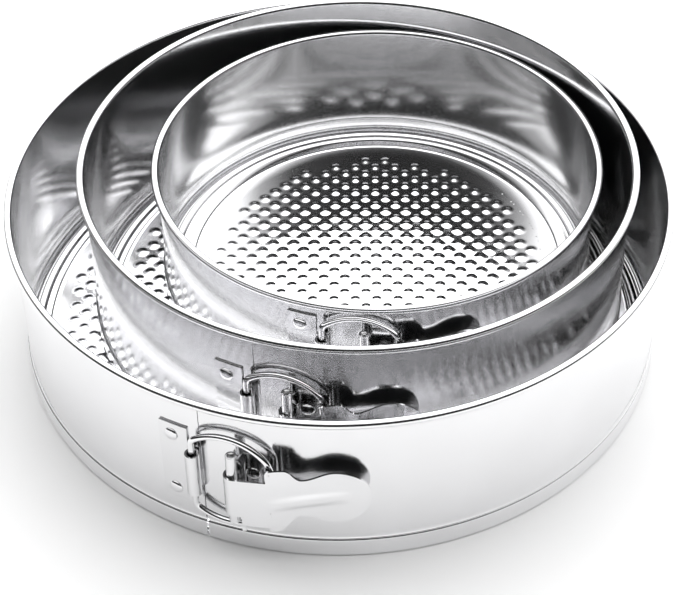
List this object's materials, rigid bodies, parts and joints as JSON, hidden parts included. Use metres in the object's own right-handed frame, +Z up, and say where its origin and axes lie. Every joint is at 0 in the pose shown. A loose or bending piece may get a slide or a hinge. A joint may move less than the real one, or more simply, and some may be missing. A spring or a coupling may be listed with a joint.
{
  "type": "springform pan set",
  "caption": "Nested round cake pans, each with a curled-rim side band, a loose dimpled bottom plate and a lever clasp with a wire bail that closes the band's seam.",
  "frame": {"origin": "on the large pan's axis, at the level of the table it stands on", "axes": "+Z up along the pans' axes; the clasps are on the -Y side, turned a little towards -X"},
  "size_m": [0.2664, 0.2693, 0.0769],
  "materials": {
    "polished_band": "mirror-bright tinplate, faintly brushed round the wall",
    "stamped_base": "bright tinplate stamped with small domes",
    "clasp_plate": "bright zinc-plated sheet steel",
    "clasp_lever": "bright plated pressed steel with soft press marks",
    "spring_wire": "polished drawn wire",
    "rivet_steel": "plated, lightly hammered crown",
    "pin_steel": "bright turned steel"
  },
  "bodies": {
    "large_ring": {"large_band": "polished_band", "large_bail_bracket": "clasp_plate", "large_bail_bracket_rivets": "rivet_steel", "large_lever_bracket": "clasp_plate", "large_lever_bracket_rivets": "rivet_steel", "large_pivot_pin": "pin_steel"},
    "large_base": {"large_base": "stamped_base"},
    "large_lever": {"large_lever": "clasp_lever"},
    "large_bail": {"large_wire_bail": "spring_wire"},
    "medium_ring": {"medium_band": "polished_band", "medium_bail_bracket": "clasp_plate", "medium_bail_bracket_rivets": "rivet_steel", "medium_lever_bracket": "clasp_plate", "medium_lever_bracket_rivets": "rivet_steel", "medium_pivot_pin": "pin_steel"},
    "medium_base": {"medium_base": "stamped_base"},
    "medium_lever": {"medium_lever": "clasp_lever"},
    "medium_bail": {"medium_wire_bail": "spring_wire"},
    "small_ring": {"small_band": "polished_band", "small_bail_bracket": "clasp_plate", "small_bail_bracket_rivets": "rivet_steel", "small_lever_bracket": "clasp_plate", "small_lever_bracket_rivets": "rivet_steel", "small_pivot_pin": "pin_steel"},
    "small_base": {"small_base": "stamped_base"},
    "small_lever": {"small_lever": "clasp_lever"},
    "small_bail": {"small_wire_bail": "spring_wire"}
  },
  "joints": [
    {"name": "large_base_lift", "type": "slide", "parent": "large_ring", "child": "large_base", "axis": [0, 0, 1], "range_m": [0, 0.075]},
    {"name": "large_lever_swing", "type": "hinge", "parent": "large_ring", "child": "large_lever", "pos_m": [-0.03752, -0.13041, 0.0373], "axis": [0, 0, -1], "range_deg": [0, 150]},
    {"name": "large_bail_swing", "type": "hinge", "parent": "large_ring", "child": "large_bail", "pos_m": [-0.05227, -0.12295, 0.0373], "axis": [0, 0, -1], "range_deg": [0, 68.5]},
    {"name": "medium_pan_lift", "type": "slide", "parent": "large_base", "child": "medium_ring", "axis": [0, 0, 1], "range_m": [0, 0.075]},
    {"name": "medium_base_lift", "type": "slide", "parent": "medium_ring", "child": "medium_base", "axis": [0, 0, 1], "range_m": [0, 0.075]},
    {"name": "medium_lever_swing", "type": "hinge", "parent": "medium_ring", "child": "medium_lever", "pos_m": [-0.01853, -0.09973, 0.0379], "axis": [0, 0, -1], "range_deg": [0, 25]},
    {"name": "medium_bail_swing", "type": "hinge", "parent": "medium_ring", "child": "medium_bail", "pos_m": [-0.03366, -0.09288, 0.0379], "axis": [0, 0, -1], "range_deg": [0, 12.25]},
    {"name": "small_pan_lift", "type": "slide", "parent": "medium_base", "child": "small_ring", "axis": [0, 0, 1], "range_m": [0, 0.075]},
    {"name": "small_base_lift", "type": "slide", "parent": "small_ring", "child": "small_base", "axis": [0, 0, 1], "range_m": [0, 0.058]},
    {"name": "small_lever_swing", "type": "hinge", "parent": "small_ring", "child": "small_lever", "pos_m": [0.00987, -0.06835, 0.0372], "axis": [0, 0, -1], "range_deg": [0, 25]},
    {"name": "small_bail_swing", "type": "hinge", "parent": "small_ring", "child": "small_bail", "pos_m": [-0.00626, -0.06388, 0.0372], "axis": [0, 0, -1], "range_deg": [0, 12.25]}
  ],
  "couplings": [
    {"joint": "large_bail_swing", "follows": "large_lever_swing", "ratio": 0.45},
    {"joint": "medium_bail_swing", "follows": "medium_lever_swing", "ratio": 0.45},
    {"joint": "small_bail_swing", "follows": "small_lever_swing", "ratio": 0.45}
  ]
}
